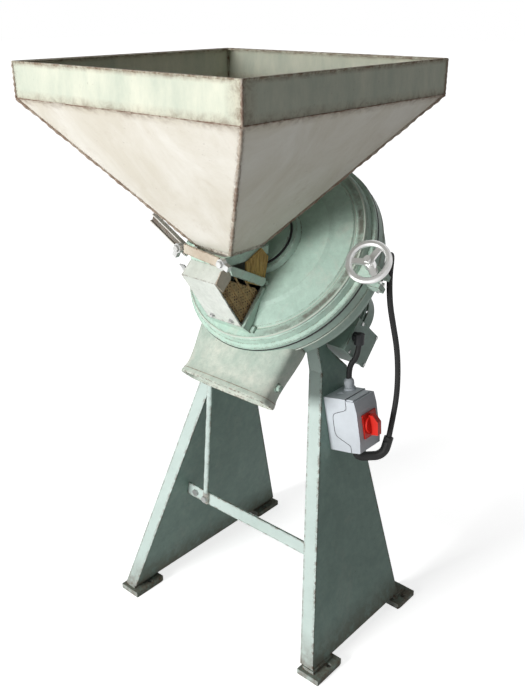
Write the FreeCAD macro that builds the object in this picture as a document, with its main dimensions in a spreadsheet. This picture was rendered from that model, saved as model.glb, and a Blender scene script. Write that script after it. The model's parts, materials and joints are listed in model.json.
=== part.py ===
"""Floor-standing grain mill: a tilted drum on two leaning legs, fed by a square hopper.

Units are millimetres. +Z is up, +X is to the operator's right and -Y is the operator's side.
The origin is on the floor, under the middle of the whole machine.
"""
import FreeCAD, Part
import math
import os
import re
import Sketcher

Vec = FreeCAD.Vector
Turn = FreeCAD.Rotation
Place = FreeCAD.Placement

SIZES = {
    "hopper_side": 600.0, "hopper_y": -81.0, "rim_z": 1386.0, "rim_band": 68.0, "hopper_sheet": 3.0,
    "throat_side": 98.0, "throat_y": -100.0, "throat_z": 1018.0, "collar_z": 1013.0,
    "gate_frame_x": 98.0, "gate_frame_y": 138.0, "gate_frame_z": 993.0, "gate_frame_tall": 20.0,
    "gate_bar": 6.0, "gate_sheet": 3.0, "gate_wide": 112.0, "gate_travel": 95.0,
    "handle_long": 120.0, "handle_wide": 20.0, "handle_deep": 11.0,
    "chute_wide": 98.0, "chute_sheet": 2.5, "chute_nose_y": -197.0, "chute_nose_z": 966.0,
    "curb_wide": 112.0, "curb_low": -208.0, "curb_high": -92.0, "curb_top": 62.0, "curb_wall": 9.0,
    "head_y": 63.0, "head_z": 965.0, "head_tilt": 41.5,
    "drum_r": 241.0, "drum_wall_r": 229.0, "drum_back_r": 205.0, "drum_deep": 112.0, "rim_deep": 30.0,
    "drum_shell": 8.0, "seal_thick": 3.0,
    "cover_face": 34.0, "cover_dome": 56.0, "boss_r": 79.0, "boss_top": 70.0, "cover_shell": 7.0,
    "spout_low": 335.0, "spout_half": 121.0, "spout_deep": 80.0, "spout_shell": 6.0, "spout_lip": 6.0,
    "hinge_out": 264.0, "hinge_pin_r": 6.0, "hinge_eye_r": 12.0, "hinge_height": 4.0,
    "clamp_out": 278.0, "clamp_lean": 12.0, "clamp_spindle_r": 6.0, "ear_thick": 16.0, "ear_wide": 34.0,
    "wheel_r": 48.0, "wheel_rim_r": 7.0, "wheel_hub_r": 12.0, "wheel_height": 70.0,
    "shaft_r": 19.0, "rotor_r": 172.0, "screen_r": 203.0,
    "motor_r": 86.0, "motor_flange_r": 100.0, "motor_long": 180.0, "cowl_long": 44.0,
    "leg_lean": 0.2, "leg_thick": 38.0, "leg_sheet": 3.0, "leg_floor": 24.0, "foot_thick": 15.0,
    "right_face_x": 271.0, "left_face_x": -288.0,
    "foot_wide": 56.0, "foot_long": 84.0, "foot_hole_r": 6.5,
    "bar_z": 286.0, "bar_y": -40.0, "bar_tall": 36.0, "bar_thick": 5.0,
    "box_wide": 80.0, "box_tall": 132.0, "box_deep": 90.0, "box_y": 97.0, "box_z": 582.0,
    "lead_r": 6.75,
}

doc = FreeCAD.newDocument("GrainMill")
sheet = doc.addObject("Spreadsheet::Sheet", "Sizes")
for row, (name, value) in enumerate(SIZES.items(), start=1):
    sheet.set("A%d" % row, name)
    sheet.set("B%d" % row, "%g" % value)
    sheet.setAlias("B%d" % row, name)
doc.recompute()

parts = []


def size(text):
    """The value of a size, or of a sum of sizes, in millimetres or degrees."""
    return float(sheet.evalExpression(str(text)))


def bound(text):
    """The same text with each size written as a reference to its cell."""
    return re.sub(r"[a-z][a-z0-9_]*", lambda m: "Sizes." + m.group() if m.group() in SIZES else m.group(),
                  str(text))


def bind(feature, **values):
    """Set a feature's numbers, and tie the ones that name a size to the sheet."""
    for prop, text in values.items():
        setattr(feature, prop, size(text))
        if any(name in SIZES for name in re.findall(r"[a-z][a-z0-9_]*", str(text))):
            feature.setExpression(prop, bound(text))
    return feature


def piece(obj, label):
    """Name a finished sub-part, so that it is written out under that name."""
    obj.Label = label
    parts.append(obj)
    return obj


def outline(sketch, points, start=0):
    """A closed outline of straight lines, each corner tied to the sheet."""
    corners = [Vec(size(x), size(y), 0) for x, y in points]
    count = len(points)
    for i in range(count):
        sketch.addGeometry(Part.LineSegment(corners[i], corners[(i + 1) % count]))
    for i in range(count):
        sketch.addConstraint(Sketcher.Constraint("Coincident", start + i, 2, start + (i + 1) % count, 1))
    for i, (x, y) in enumerate(points):
        for kind, text, value in (("DistanceX", x, corners[i].x), ("DistanceY", y, corners[i].y)):
            number = sketch.addConstraint(Sketcher.Constraint(kind, -1, 1, start + i, 1, value))
            if any(name in SIZES for name in re.findall(r"[a-z][a-z0-9_]*", str(text))):
                sketch.setExpression("Constraints[%d]" % number, bound(text))
    return start + count


def circle(sketch, x, y, radius, start=0):
    """A circle whose centre and radius are tied to the sheet."""
    sketch.addGeometry(Part.Circle(Vec(size(x), size(y), 0), Vec(0, 0, 1), size(radius)))
    for kind, text in (("DistanceX", x), ("DistanceY", y)):
        number = sketch.addConstraint(Sketcher.Constraint(kind, -1, 1, start, 3, size(text)))
        sketch.setExpression("Constraints[%d]" % number, bound(text) + " + 0")
    number = sketch.addConstraint(Sketcher.Constraint("Radius", start, size(radius)))
    sketch.setExpression("Constraints[%d]" % number, bound(radius) + " + 0")
    return start + 1


def new_body(name):
    return doc.addObject("PartDesign::Body", name)


def sketch_on(body, name, plane="XY_Plane", height=0):
    """A sketch on one of the body's own planes, moved along that plane's normal."""
    sketch = body.newObject("Sketcher::SketchObject", name)
    base = next(f for f in body.Origin.OriginFeatures if f.Role == plane)
    sketch.AttachmentSupport = (base, "")
    sketch.MapMode = "FlatFace"
    sketch.AttachmentOffset = Place(Vec(0, 0, size(height)), Turn())
    if any(name in SIZES for name in re.findall(r"[a-z][a-z0-9_]*", str(height))):
        sketch.setExpression("AttachmentOffset.Base.z", bound(height))
    return sketch


def rectangle(x_low, y_low, x_high, y_high):
    return [(x_low, y_low), (x_high, y_low), (x_high, y_high), (x_low, y_high)]


def pad(body, sketch, length, reverse=False, middle=False):
    feature = body.newObject("PartDesign::Pad", sketch.Name + "_pad")
    feature.Profile = sketch
    bind(feature, Length=length)
    feature.Reversed = reverse
    feature.Midplane = middle
    return feature


def pocket(body, sketch, length, reverse=False, middle=False):
    feature = body.newObject("PartDesign::Pocket", sketch.Name + "_pocket")
    feature.Profile = sketch
    bind(feature, Length=length)
    feature.Reversed = reverse
    feature.Midplane = middle
    return feature


def revolve(body, sketch, cut=False):
    feature = body.newObject("PartDesign::Groove" if cut else "PartDesign::Revolution", sketch.Name + "_turned")
    feature.Profile = sketch
    feature.ReferenceAxis = (sketch, ["V_Axis"])
    feature.Angle = 360
    return feature


def loft(body, sketches, cut=False, ruled=True):
    feature = body.newObject("PartDesign::SubtractiveLoft" if cut else "PartDesign::AdditiveLoft",
                             sketches[0].Name + "_loft")
    feature.Profile = sketches[0]
    feature.Sections = sketches[1:]
    feature.Ruled = ruled
    return feature


def turned(name, profile, place=None):
    """A body of revolution about its own Z axis. The profile is (radius, height) pairs."""
    body = new_body(name)
    sketch = sketch_on(body, name + "_profile", "XZ_Plane")
    outline(sketch, profile)
    revolve(body, sketch)
    if place is not None:
        body.Placement = place
    return body


def ring(name, outer, inner, low, high, place):
    return turned(name, rectangle(inner, low, outer, high), place)


def solid(kind, name, at=(0, 0, 0), turn=None, **values):
    feature = doc.addObject("Part::" + kind, name)
    bind(feature, **values)
    feature.Placement = Place(Vec(*at), turn or Turn())
    return feature


def cylinder(name, radius, height, at=(0, 0, 0), along=(0, 0, 1)):
    return solid("Cylinder", name, at, Turn(Vec(0, 0, 1), Vec(*along)), Radius=radius, Height=height)


def post(name, radius, height, at=(0, 0, 0), along=(0, 0, 1)):
    """A small round bar or hole with sixteen flats, which keeps the facets few."""
    feature = solid("Prism", name, at, Turn(Vec(0, 0, 1), Vec(*along)), Circumradius=radius, Height=height)
    feature.Polygon = 16
    return feature


def box(name, low, high):
    """A box between two corners, given as sizes."""
    corner = [size(value) for value in low]
    feature = doc.addObject("Part::Box", name)
    for prop, a, b in zip(("Length", "Width", "Height"), low, high):
        bind(feature, **{prop: "(%s) - (%s)" % (b, a)})
    feature.Placement = Place(Vec(*corner), Turn())
    return feature


def fuse(name, shapes, place=None):
    feature = doc.addObject("Part::MultiFuse", name)
    feature.Shapes = shapes
    feature.Refine = True
    if place is not None:
        feature.Placement = place
    return feature


def cut(name, base, tools, place=None):
    tool = tools[0] if len(tools) == 1 else fuse(name + "_tools", tools)
    feature = doc.addObject("Part::Cut", name)
    feature.Base = base
    feature.Tool = tool
    feature.Refine = True
    if place is not None:
        feature.Placement = place
    return feature


def group(name, shapes, place=None):
    """Separate solids that share one name, such as a set of bolts."""
    feature = doc.addObject("Part::Compound", name)
    feature.Links = shapes
    if place is not None:
        feature.Placement = place
    return feature


def screw(name, radius, length, at, along, head_tall=None):
    """A hexagon-head screw: the head's underside is at the given point, the shank goes along."""
    turn = Turn(Vec(0, 0, 1), Vec(*along))
    direction = turn.multVec(Vec(0, 0, 1))
    tall = head_tall or 0.65 * 2 * radius
    head = doc.addObject("Part::Prism", name + "_head")
    head.Polygon = 6
    head.Circumradius = 1.85 * radius
    head.Height = tall
    head.Placement = Place(Vec(*at) - direction * tall, turn)
    shank = post(name + "_shank", radius, length, at, along)
    return fuse(name, [head, shank])


# The head's own frame: +Z is the drum's axis, out through the cover, and +Y is up the cover.
HEAD = Place(Vec(0, size("head_y"), size("head_z")), Turn(Vec(1, 0, 0), 90 - size("head_tilt")))


def head_point(x, y, z):
    return HEAD.multVec(Vec(x, y, z))


# Hopper
def frustum(name, low, high, inset):
    """A block between two level squares, each given as height, side and middle in Y."""
    block = doc.addObject("Part::Wedge", name)
    for end, level in (("", low), ("2", high)):
        half = "(%s / 2 - %s)" % (level[1], inset)
        bind(block, **{"X%smin" % end: "0 - " + half, "X%smax" % end: half,
                       "Z%smin" % end: "0 - %s - %s" % (level[2], half), "Z%smax" % end: "%s - (%s)" % (half, level[2])})
    bind(block, Ymin="0", Ymax="(%s) - (%s)" % (high[0], low[0]))
    block.Placement = Place(Vec(0, 0, size(low[0])), Turn(Vec(1, 0, 0), 90))
    return block


def make_hopper():
    """Sheet walls: the upright band, the sloping funnel and the collar round the throat."""
    levels = (("collar_z", "throat_side", "throat_y"), ("throat_z", "throat_side", "throat_y"),
              ("rim_z - rim_band", "hopper_side", "hopper_y"), ("rim_z", "hopper_side", "hopper_y"))
    blocks = []
    for name, inset in (("outside", "0"), ("inside", "hopper_sheet")):
        blocks.append(fuse("hopper_" + name, [frustum("hopper_%s_%d" % (name, number), low, high, inset)
                                              for number, (low, high) in enumerate(zip(levels, levels[1:]))]))
    return piece(cut("hopper_walls", blocks[0], [blocks[1]]), "hopper")


def make_hopper_rim():
    """The folded edge that stiffens the top of the band."""
    body = new_body("hopper_rim_body")
    sketch = sketch_on(body, "hopper_rim_outline", "XY_Plane", "rim_z - 3")
    half = "(hopper_side / 2 - hopper_sheet)"
    inner = "(hopper_side / 2 - 15)"
    count = outline(sketch, rectangle("0 - " + half, "hopper_y - " + half, half, "hopper_y + " + half))
    outline(sketch, rectangle("0 - " + inner, "hopper_y - " + inner, inner, "hopper_y + " + inner), count)
    pad(body, sketch, "3")
    return piece(body, "hopper_rim")


make_hopper()
make_hopper_rim()


# Slide gate and the frame that carries the hopper
def make_gate_frame():
    """Two flat rings with a slot between them for the gate to slide in."""
    body = new_body("gate_frame_body")
    sketch = sketch_on(body, "gate_frame_outline", "XY_Plane", "gate_frame_z")
    count = outline(sketch, rectangle("0 - gate_frame_x / 2", "throat_y - gate_frame_y / 2", "gate_frame_x / 2",
                                      "throat_y + gate_frame_y / 2"))
    outline(sketch, rectangle("0 - gate_frame_x / 2 + gate_bar", "throat_y - gate_frame_y / 2 + gate_bar + 4",
                              "gate_frame_x / 2 - gate_bar", "throat_y + gate_frame_y / 2 - gate_bar - 4"), count)
    pad(body, sketch, "gate_frame_tall")
    slot = sketch_on(body, "gate_slot_outline", "XY_Plane", "gate_frame_z + 9")
    outline(slot, rectangle("0 - gate_frame_x / 2 - 5", "throat_y - gate_wide / 2 - 0.6", "gate_frame_x / 2 - 2",
                            "throat_y + gate_wide / 2 + 0.6"))
    pocket(body, slot, "gate_sheet + 1", reverse=True)
    return piece(body, "gate_frame")


def make_slide_gate():
    """A steel sheet that closes the throat, with a folded channel for a pull beside the hopper."""
    low = "gate_frame_z + 9.5"
    plate = box("gate_plate", ("0 - gate_frame_x / 2 - 27", "throat_y - gate_wide / 2", low),
                ("gate_frame_x / 2 - 7", "throat_y + gate_wide / 2", low + " + gate_sheet"))
    body = new_body("gate_pull_body")
    sketch = sketch_on(body, "gate_pull_section", "YZ_Plane")
    wide, deep, thin = "handle_wide", "handle_deep", "gate_sheet"
    front = "0 - " + deep
    outline(sketch, [(front, "0"), ("0", "0"), ("0", wide), (front, wide), (front, wide + " - " + thin),
                     ("0 - " + thin, wide + " - " + thin), ("0 - " + thin, thin), (front, thin)])
    pad(body, sketch, "handle_long", reverse=True)
    rise = Turn(Vec(0, 1, 0), 28.5)
    body.Placement = Place(Vec(-size("gate_frame_x") / 2 - 22, size("throat_y - gate_wide / 2 + 1"),
                               size(low) - 7), rise)
    return piece(fuse("slide_gate_solid", [plate, body]), "slide_gate")


make_gate_frame()
make_slide_gate()


# Chute from the gate to the cover
def chute_corners(inset):
    """The chute's side outline in Y and Z, moved inwards by the inset on its front and back."""
    front_top = Vec(0, size("throat_y - gate_frame_y / 2 + 1"), size("gate_frame_z"))
    nose = Vec(0, size("chute_nose_y"), size("chute_nose_z"))
    low = head_point(0, size("curb_low"), size("curb_top"))
    high = head_point(0, size("curb_high"), size("curb_top"))
    back_top = Vec(0, high.y, size("gate_frame_z"))
    return [front_top + Vec(0, inset, 0), nose + Vec(0, inset * 1.1, 0), low + Vec(0, inset * 0.9, inset * 1.1),
            high + Vec(0, -inset, -inset * 1.15), back_top + Vec(0, -inset, 0)]


def make_chute():
    """A folded sheet box, open to the right, above and below."""
    sheet_thick = size("chute_sheet")
    half = size("chute_wide") / 2
    outside = Part.Face(Part.makePolygon([p + Vec(-half, 0, 0) for p in chute_corners(0) + chute_corners(0)[:1]]))
    inside = Part.Face(Part.makePolygon(
        [p + Vec(-half + sheet_thick, 0, 0) for p in chute_corners(sheet_thick) + chute_corners(sheet_thick)[:1]]))
    shell = outside.extrude(Vec(2 * half, 0, 0)).cut(inside.extrude(Vec(2 * half, 0, 0)))
    low, high = head_point(0, size("curb_low"), 0), head_point(0, size("curb_high"), 0)
    mouth = Part.makeBox(2 * half - 2 * sheet_thick, (high - low).Length - 2 * sheet_thick, 12)
    mouth.Placement = HEAD.multiply(Place(Vec(-half + sheet_thick, size("curb_low") + sheet_thick,
                                              size("curb_top") - 6), Turn()))
    top = Part.makeBox(2 * half - 2 * sheet_thick, size("gate_frame_y") - 24, 10,
                       Vec(-half + sheet_thick, size("throat_y - gate_frame_y / 2") + 12, size("gate_frame_z") - 5))
    feature = doc.addObject("Part::Feature", "chute_sheet_metal")
    feature.Shape = shell.cut(mouth).cut(top)
    return piece(feature, "chute")


def side_plate(name, points, low, high):
    """A flat plate on the chute's right side, from its outline in Y and Z."""
    corners = [Vec(low, y, z) for y, z in points]
    feature = doc.addObject("Part::Feature", name)
    feature.Shape = Part.Face(Part.makePolygon(corners + corners[:1])).extrude(Vec(high - low, 0, 0))
    return feature


def make_chute_side():
    """The sieve, guard strip, sloping bar and board that close the chute's right side."""
    sheet_metal = side_plate("sieve_sheet", [(-176, 946), (-152, 962), (-66, 922), (-52, 903), (-99, 851),
                                             (-114, 858)], 40, 42)
    down = Vec(0, 76, -116).normalize()
    ribs = []
    for number, (start, end, step) in enumerate(((14, 108, 12), (10, 112, 30), (6, 110, 48), (10, 92, 66))):
        across = Vec(0, 116, 76).normalize()
        first = Vec(42, -176, 946) + across * step + down * start
        rib = Part.makeBox(3, 3, end - start, Vec(0, 0, 0))
        feature = doc.addObject("Part::Feature", "sieve_rib_%d" % number)
        feature.Shape = rib
        feature.Placement = Place(first, Turn(Vec(0, 0, 1), down))
        ribs.append(feature)
    piece(fuse("chute_sieve_solid", [sheet_metal] + ribs), "chute_sieve")
    piece(side_plate("guard_strip_plate", [(-181, 989), (-153, 989), (-153, 966), (-177, 944), (-196, 966)],
                     49.2, 52.2), "guard_strip")
    piece(side_plate("side_board_plate", [(-107, 991), (-59, 1012), (-38, 990), (-50, 939), (-68, 931),
                                          (-107, 948)], 49.3, 54.3), "side_board")
    piece(side_plate("side_bar_plate", [(-166, 1002), (-156, 976), (-64, 930), (-52, 935), (-52, 945)],
                     54.5, 59.5), "side_bar")


def make_strip():
    """The flat bar along the hopper's front edge, held by an eye and a bolt at each end."""
    plate = box("strip_plate", ("-52", "-5", "-10"), ("50.5", "-0.2", "10"))
    plate.Placement = Place(Vec(-12, size("throat_y - gate_frame_y / 2"), 1009), Turn(Vec(0, 1, 0), 6)).multiply(
        plate.Placement)
    piece(plate, "front_strip")
    eyes, bolts = [], []
    for side, x, z in (("left", -76, 1014), ("right", 50, 1004.5)):
        eye = post("eye_%s_ring" % side, "10.5", "11", (x, -182, z), (0, 1, 0))
        tail = box("eye_%s_tail" % side, ("-6", "-11", "-22"), ("6", "0", "0"))
        tail.Placement = Place(Vec(x, -171, z), Turn(Vec(0, 1, 0), 30 if side == "left" else -70)).multiply(
            tail.Placement)
        hole = post("eye_%s_hole" % side, "4.1", "40", (x, -200, z), (0, 1, 0))
        eyes.append(cut("eye_" + side, fuse("eye_%s_whole" % side, [eye, tail]), [hole]))
        bolts.append(screw("eye_bolt_" + side, 4, 12, (x, -182.1, z), (0, 1, 0)))
    piece(group("strip_eyes_set", eyes), "strip_eyes")
    piece(group("eye_bolts_set", bolts), "eye_bolts")


def make_wing_nuts():
    """A stud on the chute's left side with its wing nut, and two screws in the chute's front."""
    stud = cylinder("wing_stud_rod", "3", "34", (-49.1, -160, 962), (-1, 0, 0))
    seat = post("wing_stud_seat", "6", "3", (-49.1, -160, 962), (-1, 0, 0))
    piece(fuse("wing_stud_solid", [stud, seat]), "wing_stud")
    hub = post("wing_nut_hub", "7", "9", (-62, -160, 962), (-1, 0, 0))
    wings = []
    for number in range(2):
        wing = box("wing_nut_wing_%d" % number, ("4", "-1.5", "0"), ("17", "1.5", "15"))
        turn = Turn(Vec(1, 0, 0), 35 + 180 * number).multiply(Turn(Vec(0, 0, 1), Vec(-1, 0, 0)))
        wing.Placement = Place(Vec(-68, -160, 962), turn).multiply(wing.Placement)
        wings.append(wing)
    hole = cylinder("wing_nut_hole", "3.06", "60", (-30, -160, 962), (-1, 0, 0))
    piece(cut("wing_nut_solid", fuse("wing_nut_whole", [hub] + wings), [hole]), "wing_nut")


make_chute()
make_chute_side()
make_strip()
make_wing_nuts()


# Cover, hinged at the left and clamped at the right
CLAMP = Place(Vec(size("clamp_out"), 0, size("wheel_height")), Turn(Vec(0, 1, 0), size("clamp_lean")))


def make_cover():
    profile = [("0", "boss_top - 10"), ("0", "boss_top"), ("boss_r", "boss_top"), ("boss_r + 2", "boss_top - 2"),
               ("boss_r + 6", "cover_dome"), ("150", "cover_dome - 5"), ("160", "cover_dome - 9"),
               ("200", "cover_face + 3"), ("204", "cover_face - 2"), ("208", "cover_face"),
               ("222", "cover_face - 1"), ("229", "cover_face - 7"), ("232", "13"), ("drum_r - 2", "11"),
               ("drum_r", "9"), ("drum_r", "0.5"), ("226", "0.5"), ("222", "cover_face - 9"),
               ("200", "cover_face - 6"), ("160", "cover_dome - 17"), ("90", "cover_dome - 8"),
               ("70", "boss_top - 10")]
    body = turned("cover_body", profile)
    ear = sketch_on(body, "cover_ear", "XY_Plane", "2")
    outline(ear, [("230", "0 - ear_wide / 2 - 6"), ("clamp_out - 8", "0 - ear_wide / 2"),
                  ("clamp_out + 4", "0 - ear_wide / 4"), ("clamp_out + 4", "ear_wide / 4"),
                  ("clamp_out - 8", "ear_wide / 2"), ("230", "ear_wide / 2 + 6")])
    pad(body, ear, "ear_thick")
    inlet = sketch_on(body, "cover_inlet", "XY_Plane", "0")
    outline(inlet, rectangle("-43", "curb_low + 12", "43", "curb_high - 10"))
    pocket(body, inlet, "80", reverse=True)
    lugs = []
    for number, low in enumerate((-60, 36)):
        eye = cylinder("cover_eye_%d" % number, "hinge_eye_r", "24", (-size("hinge_out"), low, size("hinge_height")),
                       (0, 1, 0))
        arm = box("cover_arm_%d" % number, ("0 - hinge_out", str(low), "1.5"), ("-228", str(low + 24), "10"))
        lugs += [eye, arm]
    pin_hole = cylinder("cover_pin_hole", "hinge_pin_r + 0.06", "140",
                        (-size("hinge_out"), -70, size("hinge_height")), (0, 1, 0))
    bore = cylinder("cover_ear_bore", "clamp_spindle_r + 0.06", "80")
    bore.Placement = CLAMP.multiply(Place(Vec(0, 0, -90), Turn()))
    whole = fuse("cover_with_lugs", [body] + lugs)
    return piece(cut("cover_solid", whole, [pin_hole, bore], HEAD), "cover")


def make_curb():
    """The raised frame round the cover's inlet, which the chute stands on."""
    wall = "curb_wall"
    low, high = "curb_low", "curb_high"
    outer = box("curb_outer", ("0 - curb_wide / 2", low, "20"), ("curb_wide / 2", high, "curb_top - 0.2"))
    inner = box("curb_inner", ("0 - curb_wide / 2 + " + wall, low + " + " + wall, "10"),
                ("curb_wide / 2 - " + wall, high + " - " + wall, "curb_top + 5"))
    under = turned("curb_under", [("0", "-5"), ("0", "cover_dome + 0.2"), ("86", "cover_dome + 0.2"),
                                  ("150", "cover_dome - 4.8"),
                                  ("160", "cover_dome - 8.8"), ("200", "cover_face + 3.2"),
                                  ("204", "cover_face - 1.8"), ("208", "cover_face + 0.2"),
                                  ("222", "cover_face - 0.8"), ("240", "cover_face - 9"), ("240", "-5")])
    slot = box("curb_hook_slot", ("curb_wide / 2 - 12", high + " - 16", "curb_top - 9"),
               ("curb_wide / 2 + 5", high + " - 10", "curb_top + 5"))
    foot = box("curb_foot", ("curb_wide / 2 - 1", low + " + 2", "20"), ("curb_wide / 2 + 10", low + " + 16", "40"))
    whole = fuse("curb_whole", [outer, foot])
    return piece(cut("curb_solid", whole, [inner, slot, under], HEAD), "inlet_curb")


make_cover()
make_curb()
piece(ring("boss_cap", "boss_r - 12", "0", "boss_top + 0.1", "boss_top + 6", HEAD), "boss_cap")
piece(ring("boss_ring", "boss_r - 8", "boss_r - 11.5", "boss_top + 0.1", "boss_top + 3.5", HEAD), "boss_seal")
piece(ring("cover_seal_ring", "238", "231", "0 - seal_thick", "0.3", HEAD), "cover_seal")


# Handwheel clamp
def make_handwheel():
    """The wheel on its spindle, whose T-shaped end passes down between the lug's cheeks."""
    middle, rim_r = size("wheel_r - wheel_rim_r"), size("wheel_rim_r")
    rim = turned("wheel_rim", [("%g" % (middle + rim_r * math.cos(math.radians(22.5 + 45 * number))),
                                "%g" % (rim_r * math.sin(math.radians(22.5 + 45 * number))))
                               for number in range(8)])
    hub = cylinder("wheel_hub", "wheel_hub_r", "24", (0, 0, -18))
    spokes = []
    for number in range(3):
        spoke = doc.addObject("Part::Wedge", "wheel_spoke_%d" % number)
        for prop, value in (("Xmin", 0), ("Xmax", 13), ("X2min", 1), ("X2max", 12), ("Ymin", 0),
                            ("Ymax", size("wheel_r - wheel_rim_r")), ("Zmin", 0), ("Zmax", 8), ("Z2min", 1),
                            ("Z2max", 7)):
            setattr(spoke, prop, value)
        turn = Turn(Vec(0, 0, 1), -15 + 120 * number)
        spoke.Placement = Place(Vec(0, 0, -4) - turn.multVec(Vec(6.5, 0, 0)), turn)
        spokes.append(spoke)
    spindle = cylinder("wheel_spindle", "clamp_spindle_r", "122", (0, 0, -122))
    collar = cylinder("wheel_collar", "10", "6", (0, 0, -50))
    head = box("wheel_t_head", ("-9", "-5.5", "-122"), ("9", "5.5", "-113"))
    nut = screw("wheel_nut", 4, 6, (0, 0, 12), (0, 0, -1), 6)
    whole = fuse("handwheel_solid", [rim, hub, spindle, collar, head, nut] + spokes, HEAD.multiply(CLAMP))
    return piece(whole, "handwheel")


def drum_outside(name):
    """The drum's outer form, also used to shape what is fixed to it."""
    back = "0 - drum_deep"
    return turned(name, [("0", back), ("drum_back_r - 10", back), ("drum_back_r", back + " + 3"),
                         ("drum_wall_r - 3", back + " + 32"), ("drum_wall_r", back + " + 44"),
                         ("drum_wall_r", "0 - rim_deep"), ("drum_r", "0 - rim_deep + 4"),
                         ("drum_r", "0 - seal_thick"), ("0", "0 - seal_thick")])


def make_clamp_lug():
    """The forked lug on the drum's side that the clamp's T-head pulls against, and its cross pin."""
    lug = box("clamp_lug_block", ("222", "-20", "-38"), ("clamp_out - 4", "20", "-12"))
    gap = box("clamp_lug_gap", ("238", "-8.6", "-60"), ("clamp_out + 20", "8.6", "0"))
    pin_hole = post("clamp_lug_hole", "3.06", "60", (size("clamp_out") - 10, -30, -25), (0, 1, 0))
    whole = cut("clamp_lug_solid", lug, [gap, pin_hole, drum_outside("clamp_lug_seat")], HEAD)
    piece(whole, "clamp_lug")
    pins = []
    for number, low in enumerate((-26, 9)):
        pins.append(post("clamp_pin_%d" % number, "3", "17", (size("clamp_out") - 10, low, -25), (0, 1, 0)))
    piece(group("clamp_pins_set", pins, HEAD), "clamp_pins")


make_handwheel()
make_clamp_lug()


# Drum housing with its outlet spout
def spout_section(body, name, where, half, inset, edge):
    """The spout's cross-section, a flat tube with cut corners, at a distance down the cover."""
    top = "0 - seal_thick - 4"
    low = "0 - spout_deep - 6"
    sketch = sketch_on(body, name, "XZ_Plane", where)
    outline(sketch, [("0 - %s + 14" % half, "%s - %s" % (top, inset)), ("%s - 14" % half, "%s - %s" % (top, inset)),
                     (half + " - " + edge, top + " - 14"), (half + " - " + edge, low + " + 14"),
                     ("%s - 14" % half, "%s + %s" % (low, inset)), ("0 - %s + 14" % half, "%s + %s" % (low, inset)),
                     ("0 - %s + %s" % (half, edge), low + " + 14"), ("0 - %s + %s" % (half, edge), top + " - 14")])
    return sketch


def spout_solid(name, start, end, half_start, half_end, shell):
    body = new_body(name)
    loft(body, [spout_section(body, name + "_root", start, half_start, shell, shell),
                spout_section(body, name + "_mouth", end, half_end, shell, shell)])
    return body


def make_spout():
    """The outlet: a flat tapering tube with a rolled lip, fitted against the drum."""
    outer = spout_solid("spout_outside", "100", "spout_low", "(spout_half + 22)", "spout_half", "0")
    lip_body = new_body("spout_lip_body")
    lip = spout_section(lip_body, "spout_lip_outline", "spout_low", "(spout_half + spout_lip)", "0 - spout_lip", "0")
    pad(lip_body, lip, "9", reverse=True)
    inner = spout_solid("spout_inside", "90", "spout_low + 20", "(spout_half + 22)", "(spout_half - 2)",
                        "spout_shell")
    whole = fuse("spout_whole", [outer, lip_body])
    piece(cut("spout_solid_cut", whole, [inner, drum_outside("spout_seat")], HEAD), "spout")


def make_housing():
    body = drum_outside("housing_body")
    cavity = sketch_on(body, "drum_cavity", "XZ_Plane")
    floor = "0 - drum_deep + drum_shell"
    outline(cavity, [("0", floor), ("drum_back_r - 14", floor), ("drum_wall_r - 11", floor + " + 28"),
                     ("drum_wall_r - 8", floor + " + 36"), ("drum_wall_r - 8", "5"), ("0", "5")])
    revolve(body, cavity, True)
    bore = sketch_on(body, "drum_back_bore", "XY_Plane", "0")
    circle(bore, "0", "0", "45")
    pocket(body, bore, "drum_deep + 10")
    lugs = []
    for number, low_y in enumerate((-34, 12)):
        eye = cylinder("drum_eye_%d" % number, "hinge_eye_r", "22",
                       (-size("hinge_out"), low_y, size("hinge_height")), (0, 1, 0))
        arm = box("drum_arm_%d" % number, ("0 - hinge_out - 10", str(low_y), "-40"),
                  ("-226", str(low_y + 22), "-4"))
        neck = box("drum_neck_%d" % number, ("0 - hinge_out - 10", str(low_y), "-10"),
                   ("0 - hinge_out + 8", str(low_y + 22), "hinge_height"))
        lugs += [eye, arm, neck]
    clear = cylinder("drum_lug_clear", "drum_wall_r - 4", "90", (0, 0, -88))
    lug_set = cut("drum_lugs_only", fuse("drum_lugs", lugs), [clear])
    pin_hole = cylinder("drum_pin_hole", "hinge_pin_r + 0.06", "140",
                        (-size("hinge_out"), -70, size("hinge_height")), (0, 1, 0))
    window = spout_solid("drum_window", "110", "250", "(spout_half + 15)", "(spout_half + 5)", "spout_shell")
    whole = fuse("housing_with_lugs", [body, lug_set])
    return piece(cut("housing_solid", whole, [pin_hole, window], HEAD), "drum_housing")


make_housing()
make_spout()
piece(cut("hinge_pin_solid", cylinder("hinge_pin_rod", "hinge_pin_r", "136", (-size("hinge_out"), -68,
                                                                           size("hinge_height")), (0, 1, 0)),
          [post("hinge_pin_cross", "1.2", "30", (-size("hinge_out") - 15, 64.5, size("hinge_height")),
                    (1, 0, 0))], HEAD), "hinge_pin")


# Rotor with swinging beaters, and the screen round it
def make_rotor():
    plates = [cylinder("rotor_plate_%d" % n, "rotor_r - 32", "6", (0, 0, z)) for n, z in enumerate((-34, -58, -82))]
    hub = post("rotor_hub", "38", "60", (0, 0, -82))
    rods = []
    for number in range(4):
        angle = math.radians(45 + 90 * number)
        rods.append(post("rotor_rod_%d" % number, "7", "66", (118 * math.cos(angle), 118 * math.sin(angle), -85)))
    bore = cylinder("rotor_bore", "shaft_r", "120", (0, 0, -100))
    return piece(cut("rotor_solid", fuse("rotor_plates", plates + [hub] + rods), [bore], HEAD), "rotor")


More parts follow.
